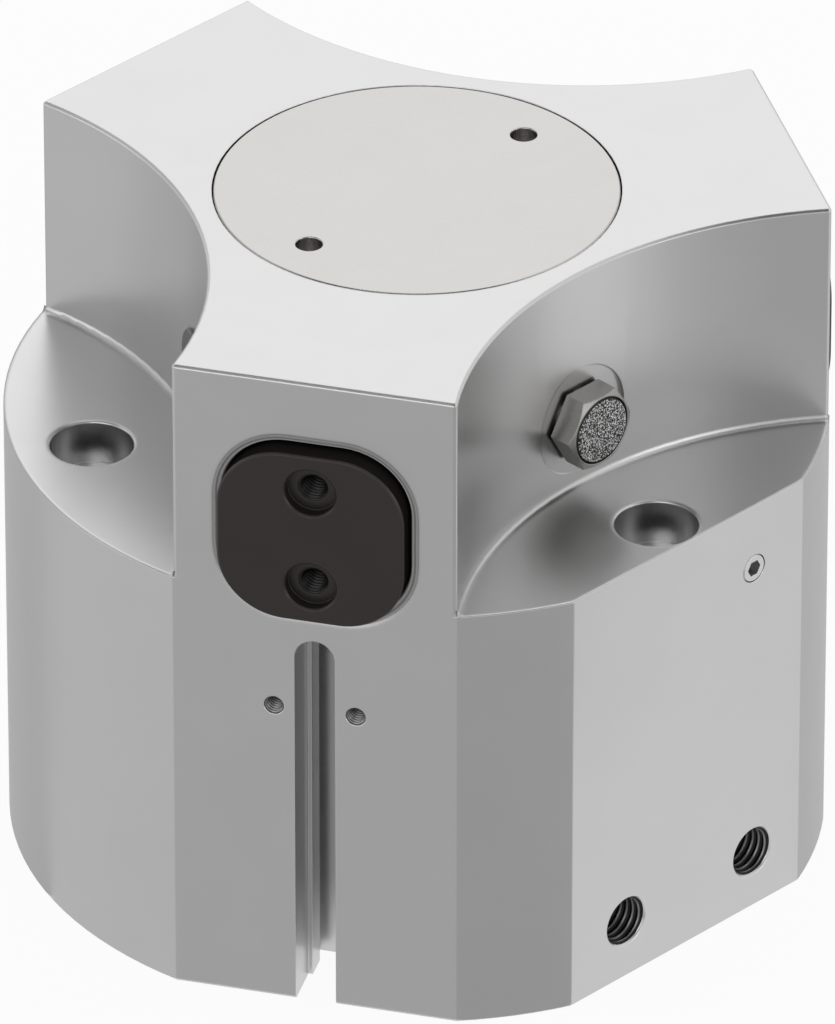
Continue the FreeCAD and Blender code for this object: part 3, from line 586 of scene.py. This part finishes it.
# ------- threads in the open holes -------
# lengths in mm, depths from the mouth; mouthR is the countersink's radius at the mouth
threads = {
    "port": {"rootR": 2.485, "crestR": 2.20, "pitch": 0.8, "start": 0.21, "end": 5.95, "mouthR": 2.71},
    "jaw": {"rootR": 1.49, "crestR": 1.23, "pitch": 0.5, "start": 1.2, "end": 8.15, "mouthR": 1.56},
    "bracket": {"rootR": 0.99, "crestR": 0.79, "pitch": 0.4, "start": 0.12, "end": 3.95, "mouthR": 0.99},
}
threadShape = {"around": 72, "rows": 10, "steep": 1.35, "flatCrest": 0.1, "backing": 0.008}


# Inner thread as a closed sleeve. The grid is turn angle by row; a row's depth is the pitch times
# (row/rows + angle/turn), held between start and end, so rows follow the helix. The radius goes from
# crest to root and back once a pitch, with a small flat on the crest and a wider one in the root, and
# comes no nearer to the axis than the countersink's cone.
def threadSleeve(name, kind, mouth, inward, body, finish):
    size = threads[kind]
    around, rows = threadShape["around"], threadShape["rows"]
    pitch, start, end = size["pitch"], size["start"], size["end"]
    turns = int(math.ceil((end - start) / pitch)) + 1
    angle = np.linspace(0.0, 2 * np.pi, around + 1)
    row = np.arange(-rows, rows * turns + 1)
    depth = np.clip(start + pitch * (row[None, :] / rows + angle[:, None] / (2 * np.pi)), start, end)
    phase = np.mod((depth - start) / pitch - angle[:, None] / (2 * np.pi), 1.0)
    rise = np.clip(np.abs(phase - 0.5) * 2 * threadShape["steep"] - threadShape["flatCrest"], 0.0, 1.0)
    radius = size["crestR"] + (size["rootR"] - size["crestR"]) * rise
    cone = size["mouthR"] - depth
    radius = np.minimum(np.maximum(radius, cone), size["rootR"])
    outer = size["rootR"] + threadShape["backing"]
    one = np.ones((around + 1, 1))
    depth = np.concatenate([one * start, depth, one * end, one * start], axis=1)
    radius = np.concatenate([one * outer, radius, one * outer, one * outer], axis=1)
    axis = np.array(inward, float)
    side = np.cross(axis, [0.0, 0.0, 1.0])
    side = side / np.linalg.norm(side)
    up = np.cross(side, axis)
    outwards = np.cos(angle)[:, None, None] * side + np.sin(angle)[:, None, None] * up
    points = np.array(mouth)[None, None, :] + depth[..., None] * axis + radius[..., None] * outwards
    count = points.shape[1]
    i, j = np.meshgrid(np.arange(around), np.arange(count - 1), indexing="ij")
    faces = np.stack([i * count + j, i * count + j + 1, (i + 1) * count + j + 1, (i + 1) * count + j], axis=-1)
    return meshPiece(name, points.reshape(-1, 3) * mm, faces.reshape(-1, 4), body, finish)


# joins points that fall together, turns all faces outwards, and lets the piece ride on its body
def meshPiece(name, points, faces, body, finish, weld=0.000002):
    mesh = bpy.data.meshes.new(name)
    mesh.from_pydata(points.tolist(), [], faces.tolist())
    made = bmesh.new()
    made.from_mesh(mesh)
    bmesh.ops.remove_doubles(made, verts=made.verts, dist=weld)
    bmesh.ops.dissolve_degenerate(made, edges=made.edges, dist=weld)
    bmesh.ops.recalc_face_normals(made, faces=made.faces)
    made.to_mesh(mesh)
    made.free()
    mesh.materials.append(finish)
    piece = bpy.data.objects.new(name, mesh)
    bpy.context.scene.collection.objects.link(piece)
    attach(piece, body)
    return piece


def cutThreads():
    inward = -spokeAxis(places["portSpoke"])
    for number, side in enumerate(places["portSides"], 1):
        mouth = onSpoke(places["portSpoke"], places["portOut"], side, places["portHeight"])
        finish = threadFinish("portThread" + str(number), threadLooks["port"], mouth, inward)
        threadSleeve("portThread" + str(number), "port", mouth, inward, "body", finish)
    for number, spoke in enumerate(places["jawSpokes"], 1):
        inward = -spokeAxis(spoke)
        for label, step in (("Lower", -0.5), ("Upper", 0.5)):
            height = places["jawHeight"] + step * places["jawHolePitch"]
            mouth = onSpoke(spoke, places["jawOut"], 0.0, height)
            threadSleeve("jaw" + str(number) + label + "Thread", "jaw", mouth, inward, "jaw_" + str(number),
                         finishes["jawThread"])
        for label, side in zip(("Left", "Right"), places["bracketSides"]):
            mouth = onSpoke(spoke, places["flatOut"], side, places["bracketHeight"])
            name = "bracket" + str(number) + label + "Thread"
            finish = threadFinish(name, threadLooks["bracket"], mouth, inward)
            threadSleeve(name, "bracket", mouth, inward, "body", finish)


cutThreads()
print("scene: threads cut")
